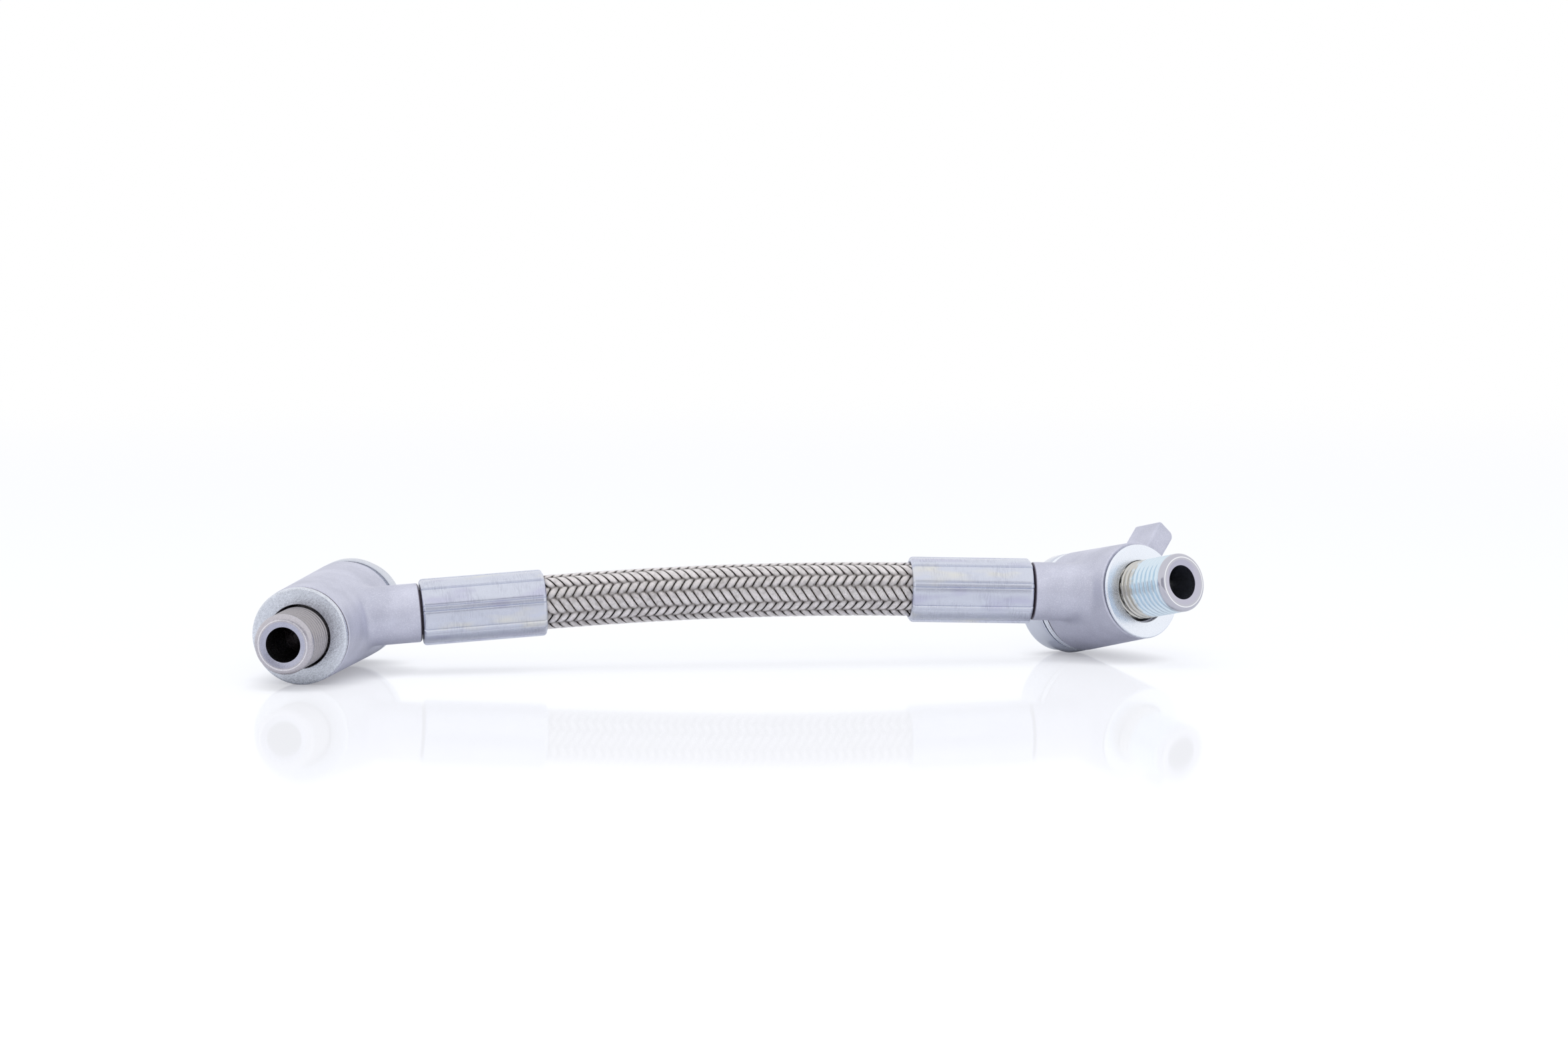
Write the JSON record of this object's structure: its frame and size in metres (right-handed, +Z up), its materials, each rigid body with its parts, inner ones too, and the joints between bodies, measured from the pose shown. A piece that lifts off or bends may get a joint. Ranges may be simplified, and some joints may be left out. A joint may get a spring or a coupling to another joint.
{
  "type": "compressor oil line",
  "caption": "Short steel-braided oil hose with a crimped ring fitting at each end, each ring fitting holding a loose hollow bolt with a sealing washer in front and a thin one behind.",
  "frame": {"origin": "middle of the line's bounding box, at the level of the table that it lies on", "axes": "+X along the line from the left fitting to the right one, -Y towards the threads of the hollow bolts, +Z up"},
  "size_m": [0.222, 0.0824, 0.0323],
  "materials": {
    "cast_steel": "matte grey plating on a fine cast grain, brighter on the machined front edge",
    "crimped_steel": "satin zinc plating with a faint blue and yellow tint and fine marks of the crimping jaws",
    "grey_bolt": "grey-beige plated thread",
    "blue_bolt": "pale blue zinc plated thread with a polished end",
    "washer_steel": "bright washer with fine grain and light scratches",
    "braided_steel": "bright woven steel wire with dark gaps",
    "liner_rubber": "smooth dark hose liner"
  },
  "bodies": {
    "root": {"ring_fitting_left": "cast_steel", "ring_fitting_right": "cast_steel", "ferrule_left": "crimped_steel", "ferrule_right": "crimped_steel", "hollow_bolt_left": "grey_bolt", "hollow_bolt_right": "blue_bolt", "front_washer_left": "washer_steel", "front_washer_right": "washer_steel", "rear_washer_left": "washer_steel", "rear_washer_right": "washer_steel", "hose_liner": "liner_rubber", "braid_sleeve": "braided_steel"}
  },
  "joints": []
}
